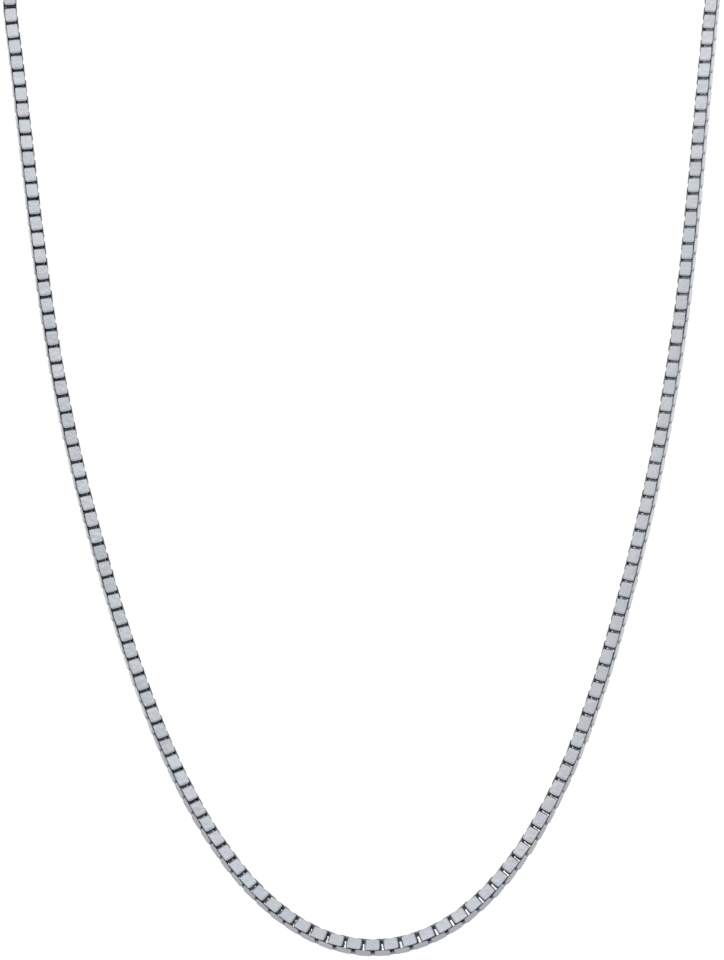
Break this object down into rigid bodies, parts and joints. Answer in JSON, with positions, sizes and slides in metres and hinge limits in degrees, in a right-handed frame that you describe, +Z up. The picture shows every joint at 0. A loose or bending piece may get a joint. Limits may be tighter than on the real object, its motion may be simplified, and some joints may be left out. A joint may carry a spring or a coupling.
{
  "type": "box-link neck chain",
  "caption": "Square box-link neck chain in plain silver, hanging in a deep U and closed at the nape by a lobster-claw clasp.",
  "frame": {"origin": "inner side of the clasp's middle, where the chain rests on the nape", "axes": "+Z up, -Y towards the front curve's viewer, +X to the viewer's right"},
  "size_m": [0.1371, 0.0513, 0.2163],
  "materials": {
    "chain_silver": "soft satin silver, fine rubbed grain",
    "clasp_silver": "polished silver with a light brushed grain"
  },
  "bodies": {
    "root": {"chain_front": "chain_silver", "chain_back_left": "chain_silver", "chain_back_right": "chain_silver", "end_link_left": "chain_silver", "end_link_right": "chain_silver", "clasp_ring": "clasp_silver", "clasp": "clasp_silver", "end_ring": "clasp_silver"}
  },
  "joints": []
}
